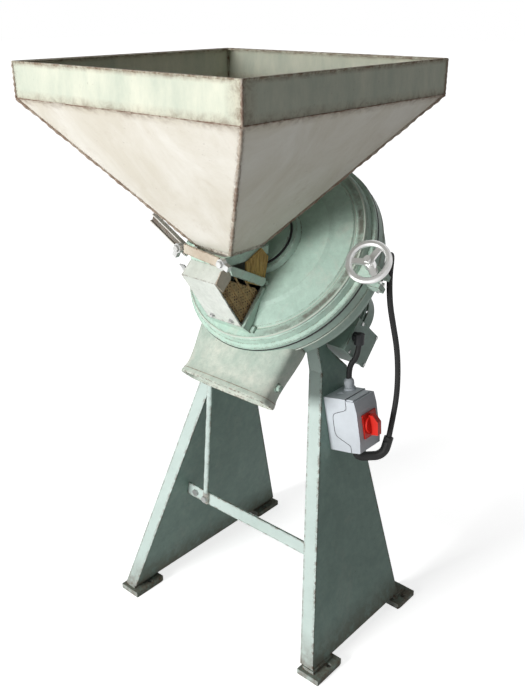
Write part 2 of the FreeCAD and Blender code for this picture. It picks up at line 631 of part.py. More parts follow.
def make_beaters():
    blades = []
    for number in range(4):
        for layer, z in enumerate((-49, -73)):
            turn = Turn(Vec(0, 0, 1), 45 + 90 * number)
            blade = box("beater_blade_%d_%d" % (number, layer), ("-20", "-19", "0"), ("78", "19", "6"))
            hole = post("beater_hole_%d_%d" % (number, layer), "7", "20", (0, 0, -5))
            blades.append(cut("beater_%d_%d" % (number, layer), blade, [hole],
                              Place(turn.multVec(Vec(118, 0, z)), turn)))
    return piece(group("beater_set", blades, HEAD), "beaters")


make_rotor()
make_beaters()
piece(ring("screen_sheet", "screen_r", "screen_r - 2.5", "0 - drum_deep + drum_shell + 12.8", "-6", HEAD),
      "screen")
piece(cylinder("motor_shaft_rod", "shaft_r", "drum_deep + motor_long + 24 - 22"), "motor_shaft")
parts[-1].Placement = HEAD.multiply(Place(Vec(0, 0, -size("drum_deep + motor_long + 24")), Turn()))


# Motor behind the drum
def make_motor():
    back = "0 - drum_deep"
    flange = turned("motor_flange_body", [("shaft_r + 1", back + " - 12"), ("motor_flange_r", back + " - 12"),
                                          ("motor_flange_r", back + " - 0.1"), ("shaft_r + 1", back + " - 0.1")])
    holes = [post("flange_hole_%d" % number, "4.1", "20",
                      (90 * math.cos(math.radians(45 + 90 * number)), 90 * math.sin(math.radians(45 + 90 * number)),
                       -size("drum_deep") - 16)) for number in range(4)]
    piece(cut("motor_flange_solid", flange, holes, HEAD), "motor_flange")
    start, end = back + " - 12.1", back + " - 12 - motor_long"
    frame = turned("motor_frame_tube", [("60", start), ("motor_r - 9", start), ("motor_r - 9", end),
                                        ("60", end)])
    fins = []
    for number in range(30):
        angle = 12 * number
        if 156 < angle < 204 or angle < 40 or angle > 320:
            continue
        turn = Turn(Vec(0, 0, 1), angle)
        fin = doc.addObject("Part::Box", "motor_fin_%d" % number)
        bind(fin, Length=12, Width=2.5, Height="motor_long - 30")
        fin.Placement = Place(turn.multVec(Vec(size("motor_r") - 11, -1.25, 0))
                              + Vec(0, 0, size(end) + 15), turn)
        fins.append(fin)
    piece(fuse("motor_frame_solid", [frame] + fins, HEAD), "motor_frame")
    piece(ring("motor_winding", "59.8", "shaft_r + 14", start + " - 30", end + " + 30", HEAD), "stator")
    piece(ring("motor_rotor_core", "shaft_r + 13", "shaft_r", start + " - 32", end + " + 32", HEAD), "motor_core")
    shield = ring("motor_end_shield", "motor_r - 4", "shaft_r + 1", end + " - 10", end + " - 0.1", HEAD)
    piece(shield, "rear_shield")
    cowl_start = end + " - 10.1"
    cowl = turned("fan_cowl_body", [("motor_r - 2", cowl_start), ("motor_r", cowl_start),
                                    ("motor_r", cowl_start + " - cowl_long + 8"),
                                    ("motor_r - 8", cowl_start + " - cowl_long"), ("20", cowl_start + " - cowl_long"),
                                    ("20", cowl_start + " - cowl_long + 2"),
                                    ("motor_r - 9", cowl_start + " - cowl_long + 2"),
                                    ("motor_r - 2", cowl_start + " - cowl_long + 9")])
    slots = []
    for number in range(12):
        turn = Turn(Vec(0, 0, 1), 30 * number)
        slot = doc.addObject("Part::Box", "cowl_slot_%d" % number)
        bind(slot, Length=42, Width=6, Height=20)
        slot.Placement = Place(turn.multVec(Vec(30, -3, 0)) + Vec(0, 0, size(cowl_start + " - cowl_long") - 5), turn)
        slots.append(slot)
    piece(cut("fan_cowl_solid", cowl, slots, HEAD), "fan_cowl")
    hub = ring("fan_hub", "shaft_r + 10", "shaft_r", cowl_start + " - 26", cowl_start + " - 4", None)
    blades = []
    for number in range(8):
        turn = Turn(Vec(0, 0, 1), 45 * number)
        blade = doc.addObject("Part::Box", "fan_blade_%d" % number)
        bind(blade, Length="motor_r - shaft_r - 18", Width=3, Height=20)
        blade.Placement = Place(turn.multVec(Vec(size("shaft_r") + 6, -1.5, 0)) + Vec(0, 0, size(cowl_start) - 25), turn)
        blades.append(blade)
    piece(fuse("fan_solid", [hub] + blades, HEAD), "cooling_fan")


def make_terminal_box():
    """The motor's connection box, low on the right, with a lid, an elbow gland and a straight gland."""
    outer = box("terminal_outer", ("58", "-128", "-272"), ("158", "-50", "-168"))
    inner = box("terminal_inner", ("84", "-124", "-268"), ("170", "-54", "-172"))
    fins = cylinder("terminal_fin_clear", "motor_r + 1.6", "200", (0, 0, -300))
    hole = post("terminal_top_hole", "9", "12", (120, -58, -220), (0, 1, 0))
    seat = cut("terminal_body_clear", outer, [fins])
    piece(cut("terminal_box_solid", seat, [inner, hole], HEAD), "terminal_box")
    lid = box("terminal_lid_plate", ("158.1", "-131", "-275"), ("165", "-47", "-165"))
    lid_hole = post("terminal_lid_hole", "8", "20", (150, -88.7, -178), (1, 0, 0))
    corners = [(y, z) for y in (-125, -53) for z in (-269, -187)]
    holes = [post("terminal_screw_hole_%d" % number, "2.6", "20", (150, y, z), (1, 0, 0))
             for number, (y, z) in enumerate(corners)]
    piece(cut("terminal_lid_solid", lid, [lid_hole] + holes, HEAD), "terminal_lid")
    screws = [screw("terminal_screw_%d" % number, 2.5, 6.9, (165.1, y, z), (-1, 0, 0), 2.5)
              for number, (y, z) in enumerate(corners)]
    piece(group("terminal_screws_set", screws, HEAD), "terminal_screws")


def make_glands():
    """Cable glands on the terminal box and the switch box, with the leads' bores through them."""
    elbow_at = head_point(165.1, -88.7, -178)
    stub = post("elbow_stub", "11", "14", tuple(elbow_at), (1, 0, 0))
    drop = post("elbow_drop", "12", "25", tuple(elbow_at + Vec(14, 0, 9)), (0, 0, -1))
    bore = post("elbow_bore", "lead_r * 1.04", "40", tuple(elbow_at + Vec(14, 0, -2)), (0, 0, -1))
    piece(cut("elbow_solid", fuse("elbow_whole", [stub, drop]), [bore]), "motor_elbow")
    nut = doc.addObject("Part::Prism", "motor_gland_nut")
    nut.Polygon, nut.Circumradius, nut.Height = 6, 13, 16
    nut.Placement = Place(Vec(120, -49.9, -220), Turn(Vec(0, 0, 1), Vec(0, 1, 0)))
    nut_bore = post("motor_gland_bore", "lead_r * 1.04", "40", (120, -60, -220), (0, 1, 0))
    piece(cut("motor_gland_solid", nut, [nut_bore], HEAD), "motor_gland")
    tall = size("box_tall") / 2
    body = turned("switch_gland_body", [("lead_r * 1.04", "0"), ("14", "0"), ("14", "5"), ("11", "6"),
                                        ("12", "14"), ("12", "22"), ("9", "27"), ("lead_r * 1.04", "28")])
    body.Placement = SWITCH.multiply(Place(Vec(24, tall + 0.1, 30), Turn(Vec(0, 0, 1), Vec(0, 1, 0))))
    piece(body, "switch_gland")


make_motor()
make_terminal_box()


# Stand: two leaning legs, four feet and a crossbar
def back_point(up):
    """A point in Y and Z on the drum's back plane, at a height up the cover."""
    point = head_point(0, up, -size("drum_deep") - 0.3)
    return (point.y, point.z)


def inset_outline(points, gap):
    """The outline moved inwards by a gap, with its corners kept sharp."""
    count = len(points)
    result = []
    for i in range(count):
        before, here, after = Vec(*points[i - 1], 0), Vec(*points[i], 0), Vec(*points[(i + 1) % count], 0)
        first = (here - before).normalize()
        second = (after - here).normalize()
        half = (Vec(-first.y, first.x, 0) + Vec(-second.y, second.x, 0)).normalize()
        scale = gap / half.dot(Vec(-first.y, first.x, 0))
        moved = here + half * scale
        result.append((moved.x, moved.y))
    return result


def make_leg(label, face_x, side, profile):
    """A pressed tray: one wide sheet, seen from the right, with its edges folded away to the left."""
    lean = size("leg_lean")
    thick = size("leg_thick")
    wall = size("leg_sheet")
    area = sum(a[0] * b[1] - b[0] * a[1] for a, b in zip(profile, profile[1:] + profile[:1]))
    inner = inset_outline(profile, wall if area > 0 else -wall)

    def prism(points, offset, depth):
        corners = [Vec(face_x - side * lean * z + offset, y, z) for y, z in points]
        return Part.Face(Part.makePolygon(corners + corners[:1])).extrude(Vec(-depth, 0, 0))

    feature = doc.addObject("Part::Feature", label + "_pressing")
    feature.Shape = prism(profile, 0, thick).cut(prism(inner, -wall, thick))
    return piece(feature, label)


FLOOR = size("leg_floor")
RIGHT_PROFILE = [(-119.5, FLOOR), (63, 700), back_point(-130), back_point(-105), (96, 752), (158, 690),
                 (250.7, FLOOR)]
LEFT_PROFILE = [(-200, FLOOR), back_point(-130), back_point(-78), (150, 775), (150, 600), (375.6, FLOOR)]
make_leg("leg_right", size("right_face_x"), 1, RIGHT_PROFILE)
make_leg("leg_left", size("left_face_x"), -1, LEFT_PROFILE)


def make_feet():
    """Two thick pads under each leg, with a riser up to the leg and a hole for a floor bolt."""
    for label, face, lean, ends in (("feet_left", "left_face_x", 1, ((-209, -125), (381, 300))),
                                    ("feet_right", "right_face_x", -1, ((-131, -47), (296, 232)))):
        pads = []
        for number, (outer, inner) in enumerate(ends):
            near, far = sorted((outer, inner))
            plate = box("%s_plate_%d" % (label, number), (face + " - 43", str(near), "0"),
                        (face + " + 20", str(far), "foot_thick"))
            round_end = cylinder("%s_end_%d" % (label, number), "31.5", "foot_thick",
                                 (size(face) - 11.5, inner, 0))
            sign = 1 if inner > outer else -1
            limit = box("%s_limit_%d" % (label, number), (face + " - 43", str(min(inner, inner + sign * 12)), "0"),
                        (face + " + 20", str(max(inner, inner + sign * 12)), "foot_thick"))
            nose = doc.addObject("Part::MultiCommon", "%s_nose_%d" % (label, number))
            nose.Shapes = [round_end, limit]
            near_leg = outer + sign * 9
            riser = box("%s_riser_%d" % (label, number), (face + " - 34", str(min(near_leg, inner)), "foot_thick - 1"),
                        (face + " - 1", str(max(near_leg, inner)), "leg_floor - 0.2"))
            hole = cylinder("%s_hole_%d" % (label, number), "foot_hole_r", "60",
                            (size(face) + 8, inner - sign * 26, -10))
            pads.append(cut("%s_%d" % (label, number), fuse("%s_whole_%d" % (label, number), [plate, nose, riser]),
                            [hole]))
        piece(group(label + "_set", pads), label)


make_feet()


def make_crossbar():
    left = size("left_face_x") + size("leg_lean") * size("bar_z")
    right = size("right_face_x") - size("leg_thick") - size("leg_lean") * size("bar_z")
    y, z, tall = size("bar_y"), size("bar_z"), size("bar_tall")
    slope = size("leg_lean") * tall / 2
    corners = [Vec(left + 1 - slope, y, z - tall / 2), Vec(right - 1 + slope, y, z - tall / 2),
               Vec(right - 1 - slope, y, z + tall / 2), Vec(left + 1 + slope, y, z + tall / 2)]
    bar = Part.Face(Part.makePolygon(corners + corners[:1])).extrude(Vec(0, size("bar_thick"), 0))
    feature = doc.addObject("Part::Feature", "crossbar_flat")
    feature.Shape = bar
    holes = [post("crossbar_hole_%d" % number, "5.1", "20", (x, y - 10, z), (0, 1, 0))
             for number, x in enumerate((-199, -158))]
    return piece(cut("crossbar_solid", feature, holes), "crossbar")


make_crossbar()


# Switch box on the right leg
def box_frame():
    """The switch box's own frame on the right leg: +Z out of the leg, +Y up the leg."""
    lean = size("leg_lean")
    out = Vec(1, 0, lean).normalize()
    up = Vec(-lean, 0, 1).normalize()
    across = up.cross(out)
    origin = Vec(size("right_face_x") - lean * size("box_z"), size("box_y"), size("box_z"))
    return Place(origin, Turn(across, up, out, "XYZ"))


SWITCH = box_frame()


def make_switch_box():
    """Base and cover meet along a stepped line, with the rotary handle on a square plate."""
    half = "box_wide / 2"
    tall = size("box_tall") / 2
    deep = size("box_deep")
    step = [(0.2, -tall), (62, -tall), (62, -tall + 18), (20, -28), (20, 26), (62, tall - 26), (62, tall),
            (0.2, tall)]
    front = [(62.3, -tall), (deep - 4, -tall + 2), (deep, -tall + 30), (deep, tall - 30), (deep - 4, tall - 4),
             (62.3, tall - 4), (62.3, tall - 26.2), (20.3, 25.9), (20.3, -27.9), (62.3, -tall + 18.4)]

    def side_prism(name, outline_points, from_side, to_side):
        corners = [Vec(from_side, up, out) for out, up in outline_points]
        feature = doc.addObject("Part::Feature", name)
        feature.Shape = Part.Face(Part.makePolygon(corners + corners[:1])).extrude(Vec(to_side - from_side, 0, 0))
        return feature

    wide = size(half)
    hollow = box("switch_hollow", ("4 - " + half, "4 - box_tall / 2", "4"), (half + " - 4", "box_tall / 2 - 4", "86"))
    top_hole = post("switch_top_hole", "9", "30", (24, tall - 15, 30), (0, 1, 0))
    low_hole = post("switch_low_hole", "9", "30", (0, -tall - 15, 45), (0, 1, 0))
    knock = post("switch_knock_out", "9", "1.2", (-12, tall - 1.2, 26), (0, 1, 0))
    base = side_prism("switch_base_outer", step, -wide, wide)
    piece(cut("switch_base_solid", base, [hollow, top_hole, low_hole, knock], SWITCH), "switch_base")
    cover = side_prism("switch_cover_outer", front, -wide, wide)
    inside = box("switch_cover_inner", ("4 - " + half, "4 - box_tall / 2", "4"), (half + " - 4", "box_tall / 2 - 8",
                                                                              "box_deep - 4"))
    shaft = cylinder("switch_cover_hole", "7.06", "30", (2, -4, deep - 15))
    piece(cut("switch_cover_solid", cover, [inside, shaft], SWITCH), "switch_cover")
    latch = box("switch_latch_block", ("0 - %s + 3" % half, "box_tall / 2 - 3.9", "64"),
                ("%s - 8" % half, "box_tall / 2 - 0.5", "82"))
    piece(latch, "switch_latch")
    latch.Placement = SWITCH.multiply(latch.Placement)
    plate = box("switch_plate_outer", ("-24", "-33", "box_deep + 0.1"), ("28", "25", "box_deep + 4"))
    hole = post("switch_plate_hole", "9", "20", (2, -4, deep - 5))
    piece(cut("switch_plate_solid", plate, [hole], SWITCH), "switch_plate")
    grip_shape = [(-24, 6), (-24, 26), (8, 30), (24, 18), (24, 6)]
    corners = [Vec(-7, up, out) for up, out in grip_shape]
    grip = doc.addObject("Part::Feature", "switch_grip")
    grip.Shape = Part.Face(Part.makePolygon(corners + corners[:1])).extrude(Vec(14, 0, 0))
    grip.Placement = Place(Vec(2, -4, deep), Turn(Vec(0, 0, 1), 0))
    dial = cylinder("switch_dial", "22", "5", (2, -4, deep + 4.5))
    stem = cylinder("switch_stem", "7", "34", (2, -4, deep - 26))
    piece(fuse("switch_knob_solid", [grip, dial, stem], SWITCH), "switch_knob")
    block = box("switch_block_outer", ("-26", "-40", "4.2"), ("30", "34", "58"))
    piece(block, "switch_contacts")
    block.Placement = SWITCH.multiply(block.Placement)


make_switch_box()
make_glands()


# Leads
def tube(name, points, radius):
    """A tube with twelve flats along straight runs joined by tangent arcs, its length and bend radii."""
    corners = [Vec(*point) for point in points]
    edges, start, radii = [], corners[0], []
    for before, here, after in zip(corners, corners[1:], corners[2:]):
        first, second = (here - before), (after - here)
        turn = first.getAngle(second)
        bend = 0.45 * min(first.Length, second.Length) / math.tan(turn / 2)
        back = bend * math.tan(turn / 2)
        first.normalize()
        second.normalize()
        enter, leave = here - first * back, here + second * back
        bisector = (second - first).normalize()
        centre = here + bisector * (bend / math.cos(turn / 2))
        middle = centre - bisector * bend
        edges += [Part.LineSegment(start, enter).toShape(), Part.Arc(enter, middle, leave).toShape()]
        start = leave
        radii.append(round(bend))
    edges.append(Part.LineSegment(start, corners[-1]).toShape())
    spine = Part.Wire(edges)
    flats = 12
    reach = radius * math.sqrt(2 * math.pi / (flats * math.sin(2 * math.pi / flats)))
    turn = Turn(Vec(0, 0, 1), corners[1] - corners[0])
    angles = [2 * math.pi * number / flats for number in range(flats)]
    ends = [corners[0] + turn.multVec(Vec(math.cos(a), math.sin(a), 0) * reach) for a in angles]
    feature = doc.addObject("Part::Feature", name)
    feature.Shape = spine.makePipe(Part.Face(Part.makePolygon(ends + ends[:1])))
    return feature, spine.Length, radii


def lead(label, points, radius):
    feature, length, radii = tube(label + "_tube", points, radius)
    expected = math.pi * radius ** 2 * length
    print("%s length %.0f, bend radii %s, volume / expected %.4f" % (
        label, length, radii, feature.Shape.Volume / expected))
    return piece(feature, label)


ELBOW = head_point(165.1, -88.7, -178) + Vec(14, 0, -4)
GLAND = SWITCH.multVec(Vec(24, size("box_tall") / 2 + 2, 30))
GLAND_UP = SWITCH.Rotation.multVec(Vec(0, 1, 0))
lead("motor_lead", [ELBOW, ELBOW + Vec(0, 0, -42), GLAND + GLAND_UP * 52, GLAND], size("lead_r"))

SUPPLY_START = SWITCH.multVec(Vec(0, -size("box_tall") / 2 - 14, 45))
SUPPLY_END = head_point(120, -44, -220)
SUPPLY_AXIS = HEAD.Rotation.multVec(Vec(0, 1, 0))
SUPPLY = [(266, 150, 536), (267, 162, 590), (266, 175, 645), (263, 178, 705), (259, 173, 765), (254, 158, 825),
          (251, 142, 882), (240, 152, 938), (216, 196, 968), (182, 242, 958),
          tuple(SUPPLY_END + SUPPLY_AXIS * 128 + Vec(24, -6, 0)), tuple(SUPPLY_END + SUPPLY_AXIS * 70),
          tuple(SUPPLY_END)]
lead("supply_lead", SUPPLY, size("lead_r"))


def make_supply_elbow():
    """The moulded elbow under the switch box that turns the supply lead upwards."""
    first = SWITCH.multVec(Vec(0, -size("box_tall") / 2 + 2, 45))
    route = [first, first + Vec(4, 4, -32), Vec(262, 140, 500), Vec(*SUPPLY[0]) + Vec(0, 3, 10)]
    whole = tube("supply_elbow_tube", route, 11)[0]
    bore = post("supply_elbow_bore", "lead_r * 1.06", "80", SUPPLY[0],
                    tuple(Vec(*SUPPLY[1]) - Vec(*SUPPLY[0])))
    roof = doc.addObject("Part::Box", "supply_elbow_roof")
    roof.Length, roof.Width, roof.Height = 90, 90, 110
    roof.Placement = SWITCH.multiply(Place(Vec(-45, -size("box_tall") / 2 - 0.05, 0), Turn()))
    piece(cut("supply_elbow_solid", whole, [bore, roof]), "supply_elbow")


make_supply_elbow()


# Stay rod and fasteners
def make_stay():
    """The thin rod from the spout's underside to the crossbar."""
    top, low = Vec(-108, -60, 700), Vec(-158, size("bar_y") - 4.7, size("bar_z"))
    along = (low - top).normalize()
    rod = post("stay_rod_round", "4.5", "%g" % ((low - top).Length - 16), tuple(top), tuple(along))
    flat = box("stay_flat", ("-8", "-3", "-14"), ("8", "4.5", "22"))
    lean = Turn(Vec(0, 1, 0), math.degrees(math.atan2(top.x - low.x, top.z - low.z)))
    flat.Placement = Place(low, lean).multiply(flat.Placement)
    hole = post("stay_hole", "5.1", "20", (low.x, low.y - 10, low.z), (0, 1, 0))
    whole = fuse("stay_whole", [rod, flat])
    seat = box("stay_seat", ("-200", "-420", "0 - spout_deep - 6.1"), ("200", "-100", "20"))
    seat.Placement = HEAD.multiply(seat.Placement)
    piece(cut("stay_rod_solid", whole, [hole, seat]), "stay_rod")


def make_fasteners():
    flange_bolts = []
    for number in range(4):
        angle = math.radians(45 + 90 * number)
        at = (90 * math.cos(angle), 90 * math.sin(angle), -size("drum_deep") - 12.1)
        flange_bolts.append(screw("flange_bolt_%d" % number, 4, 11, at, (0, 0, 1)))
    piece(group("flange_bolts_set", flange_bolts, HEAD), "flange_bolts")
    bar = [screw("bar_bolt_left", 5, 4, (-199, size("bar_y") - 0.1, size("bar_z")), (0, 1, 0)),
           screw("bar_bolt_stay", 5, 12, (-158, size("bar_y") - 7.8, size("bar_z")), (0, 1, 0))]
    piece(group("bar_bolts_set", bar), "bar_bolts")


make_stay()
make_fasteners()


def write_parts():
    doc.recompute()
    for obj in doc.Objects:
        if "Invalid" in obj.State or "Error" in obj.State:
            raise RuntimeError("%s failed: %s" % (obj.Name, obj.State))
    os.makedirs("parts", exist_ok=True)
    for obj in parts:
        if obj.Shape.isNull() or not obj.Shape.isValid():
            raise RuntimeError("%s has no valid shape" % obj.Label)
        obj.Shape.exportStep("parts/%s.step" % obj.Label)
        bounds = obj.Shape.BoundBox
        print("%-18s solids %2d  volume %9.0f  x %6.0f %6.0f  y %6.0f %6.0f  z %6.0f %6.0f" % (
            obj.Label, len(obj.Shape.Solids), obj.Shape.Volume, bounds.XMin, bounds.XMax, bounds.YMin,
            bounds.YMax, bounds.ZMin, bounds.ZMax))


write_parts()
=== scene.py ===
"""The grain mill's finish, small detail, camera and light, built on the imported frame. Metres, +Z up."""
import json
import math
import bmesh
import bpy
from mathutils import Matrix, Vector


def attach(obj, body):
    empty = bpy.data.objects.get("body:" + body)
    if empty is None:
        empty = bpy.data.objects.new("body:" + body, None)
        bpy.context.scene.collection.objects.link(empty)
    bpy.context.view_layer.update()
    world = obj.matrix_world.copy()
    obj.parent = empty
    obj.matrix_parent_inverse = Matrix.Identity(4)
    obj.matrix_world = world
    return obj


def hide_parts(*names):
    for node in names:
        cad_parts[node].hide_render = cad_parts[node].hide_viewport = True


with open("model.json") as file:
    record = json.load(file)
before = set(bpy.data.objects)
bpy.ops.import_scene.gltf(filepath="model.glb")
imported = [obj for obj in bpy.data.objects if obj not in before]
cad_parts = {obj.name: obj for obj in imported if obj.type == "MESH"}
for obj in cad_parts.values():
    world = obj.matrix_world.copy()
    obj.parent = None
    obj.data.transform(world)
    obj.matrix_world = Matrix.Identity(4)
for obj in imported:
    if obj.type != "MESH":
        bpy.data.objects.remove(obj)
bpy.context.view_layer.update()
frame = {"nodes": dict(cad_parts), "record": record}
scene = bpy.context.scene
NODES = frame["nodes"]

# Camera
CAMERA_PLACE = (1.1468, -1.2952, 1.4921)
CAMERA_TURN = (math.radians(66.6), math.radians(0.1), math.radians(41.4))
camera = bpy.data.objects.new("camera", bpy.data.cameras.new("camera"))
camera.data.sensor_fit = "HORIZONTAL"
camera.data.sensor_width = 36.0
camera.data.lens = 55.37
camera.location = CAMERA_PLACE
camera.rotation_euler = CAMERA_TURN
scene.collection.objects.link(camera)
scene.camera = camera


# Materials
HEAD_PLACE = (0.0, 0.063, 0.965)
HEAD_TILT = math.radians(48.5)
RIM_TOP = 1.386
BAND_LOW = 1.318
THROAT_LOW = 1.018
FRONT_FACE = -0.381
SIDE_FACE = 0.300


class Nodes:
    """A small builder for one material's node tree."""

    def __init__(self, name):
        self.material = bpy.data.materials.new(name)
        self.material.use_nodes = True
        self.tree = self.material.node_tree
        self.shader = self.tree.nodes["Principled BSDF"]
        self.place = self.tree.nodes.new("ShaderNodeTexCoord").outputs["Object"]

    def link(self, source, target):
        self.tree.links.new(source, target)

    def noise(self, scale, detail=6.0, rough=0.6, stretch=None, distort=0.0):
        node = self.tree.nodes.new("ShaderNodeTexNoise")
        node.inputs["Scale"].default_value = scale
        node.inputs["Detail"].default_value = detail
        node.inputs["Roughness"].default_value = rough
        node.inputs["Distortion"].default_value = distort
        source = self.place
        if stretch:
            mapping = self.tree.nodes.new("ShaderNodeMapping")
            mapping.inputs["Scale"].default_value = stretch
            self.link(source, mapping.inputs["Vector"])
            source = mapping.outputs["Vector"]
        self.link(source, node.inputs["Vector"])
        return node.outputs["Fac"]

    def ramp(self, source, low, high, low_value=0.0, high_value=1.0):
        node = self.tree.nodes.new("ShaderNodeMapRange")
        node.inputs["From Min"].default_value = low
        node.inputs["From Max"].default_value = high
        node.inputs["To Min"].default_value = low_value
        node.inputs["To Max"].default_value = high_value
        self.link(source, node.inputs["Value"])
        return node.outputs["Result"]

    def calc(self, kind, first, second):
        node = self.tree.nodes.new("ShaderNodeMath")
        node.operation = kind
        node.use_clamp = True
        for socket, value in zip(node.inputs, (first, second)):
            if isinstance(value, (int, float)):
                socket.default_value = value
            else:
                self.link(value, socket)
        return node.outputs["Value"]

    def mix(self, factor, first, second):
        node = self.tree.nodes.new("ShaderNodeMix")
        node.data_type = "RGBA"
        self.link(factor, node.inputs["Factor"])
        for socket, value in ((node.inputs["A"], first), (node.inputs["B"], second)):
            if isinstance(value, tuple):
                socket.default_value = (*value, 1.0)
            else:
                self.link(value, socket)
        return node.outputs["Result"]

    def edges(self, radius):
        """Near 1 at sharp edges and 0 on flat ground."""
        bevel = self.tree.nodes.new("ShaderNodeBevel")
        bevel.samples = 4
        bevel.inputs["Radius"].default_value = radius
        normal = self.tree.nodes.new("ShaderNodeNewGeometry").outputs["True Normal"]
        dot = self.tree.nodes.new("ShaderNodeVectorMath")
        dot.operation = "DOT_PRODUCT"
        self.link(bevel.outputs["Normal"], dot.inputs[0])
        self.link(normal, dot.inputs[1])
        return self.ramp(dot.outputs["Value"], 0.995, 0.90)

    def bump(self, height, strength, distance):
        node = self.tree.nodes.new("ShaderNodeBump")
        node.inputs["Strength"].default_value = strength
        node.inputs["Distance"].default_value = distance
        self.link(height, node.inputs["Height"])
        self.link(node.outputs["Normal"], self.shader.inputs["Normal"])

    def height(self, low, high, axis="Z"):
        """0 below a height and 1 above it, along one axis of the row frame."""
        split = self.tree.nodes.new("ShaderNodeSeparateXYZ")
        self.link(self.place, split.inputs["Vector"])
        return self.ramp(split.outputs[axis], low, high)

    def painted_step_shade(self):
        """Painted shade along the step of the tilted cover, on its right and upper side."""
        mapping = self.tree.nodes.new("ShaderNodeMapping")
        mapping.vector_type = "TEXTURE"
        mapping.inputs["Location"].default_value = HEAD_PLACE
        mapping.inputs["Rotation"].default_value = (HEAD_TILT, 0.0, 0.0)
        self.link(self.place, mapping.inputs["Vector"])
        split = self.tree.nodes.new("ShaderNodeSeparateXYZ")
        self.link(mapping.outputs["Vector"], split.inputs["Vector"])
        flat = self.tree.nodes.new("ShaderNodeVectorMath")
        flat.operation = "MULTIPLY"
        flat.inputs[1].default_value = (1.0, 1.0, 0.0)
        self.link(mapping.outputs["Vector"], flat.inputs[0])
        away = self.tree.nodes.new("ShaderNodeVectorMath")
        away.operation = "LENGTH"
        self.link(flat.outputs["Vector"], away.inputs[0])
        radius = away.outputs["Value"]
        ring = self.calc("MULTIPLY", self.ramp(radius, 0.207, 0.213), self.ramp(radius, 0.2235, 0.2200))
        side = self.ramp(split.outputs["X"], 0.02, 0.17)
        patchy = self.ramp(self.noise(26.0, 7.0, 0.75), 0.36, 0.56, 0.25, 1.0)
        return self.calc("MULTIPLY", self.calc("MULTIPLY", ring, side), patchy)

    def facing(self, direction, low, high):
        """1 on faces that look along a direction of the row frame, and 0 on the others."""
        normal = self.tree.nodes.new("ShaderNodeNewGeometry").outputs["True Normal"]
        dot = self.tree.nodes.new("ShaderNodeVectorMath")
        dot.operation = "DOT_PRODUCT"
        dot.inputs[1].default_value = direction
        self.link(normal, dot.inputs[0])
        return self.ramp(dot.outputs["Value"], low, high)

    def finish(self, colour, rough=None, metal=0.0, rough_value=0.5):
        if isinstance(colour, tuple):
            self.shader.inputs["Base Color"].default_value = (*colour, 1.0)
        else:
            self.link(colour, self.shader.inputs["Base Color"])
        if rough is None:
            self.shader.inputs["Roughness"].default_value = rough_value
        else:
            self.link(rough, self.shader.inputs["Roughness"])
        self.shader.inputs["Metallic"].default_value = metal
        return self.material


RUST = (0.115, 0.055, 0.030)
DUST = (0.66, 0.65, 0.57)
# Colour of the painted shade on the cover's step
STEP_SHADE = (0.12, 0.10, 0.08)


def paint(name, colour, dark, dust=0.35, chip=0.004, rust_amount=0.6, rust=RUST, darken_low=False, front=None,
          shade_step=False):
    """Old enamel: cloudy colour under pale dust, chips along the edges and rust in them."""
    n = Nodes(name)
    cloud = n.ramp(n.noise(5.0, 8.0, 0.7, None, 0.5), 0.34, 0.66)
    body = n.mix(cloud, dark, colour)
    mottle = n.ramp(n.noise(55.0, 7.0, 0.8), 0.40, 0.62, 0.0, 0.30)
    body = n.mix(mottle, body, tuple(0.62 * c for c in dark))
    dusty = n.ramp(n.noise(9.0, 9.0, 0.78, (1.0, 1.0, 0.6), 0.8), 0.52, 0.72, 0.0, dust)
    body = n.mix(dusty, body, DUST)
    # Painted light: faces turned to the front, towards the key light, get a lighter copy of the paint.
    if front:
        lit_front = n.calc("MULTIPLY", n.facing((0.0, -1.0, 0.0), 0.55, 0.85),
                       n.ramp(cloud, 0.0, 1.0, 0.75, 1.0))
        body = n.mix(lit_front, body, front)
    # Painted shade on the right side of the cover's step.
    if shade_step:
        body = n.mix(n.calc("MULTIPLY", n.painted_step_shade(), 0.85), body, STEP_SHADE)
    speck = n.ramp(n.noise(240.0, 4.0, 0.7), 0.62, 0.69)
    patch = n.ramp(n.noise(24.0, 6.0, 0.75), 0.52, 0.64)
    spots = n.calc("MULTIPLY", n.calc("MULTIPLY", speck, patch), rust_amount)
    edge = n.calc("MULTIPLY", n.edges(chip), n.ramp(n.noise(75.0, 6.0, 0.75), 0.44, 0.58))
    chips = n.calc("MAXIMUM", spots, edge)
    # Rust-coloured patches towards the bottom, below about 0.11 m.
    if darken_low:
        low_patches = n.calc("MULTIPLY", n.height(0.110, 0.012),
                      n.ramp(n.noise(40.0, 7.0, 0.75), 0.32, 0.56, 0.15, 0.7))
        chips = n.calc("MAXIMUM", chips, low_patches)
    n.bump(n.noise(90.0, 5.0, 0.7), 0.16, 0.002)
    n.shader.inputs["Specular IOR Level"].default_value = 0.22
    return n.finish(n.mix(chips, body, rust), n.ramp(chips, 0.0, 1.0, 0.46, 0.88))


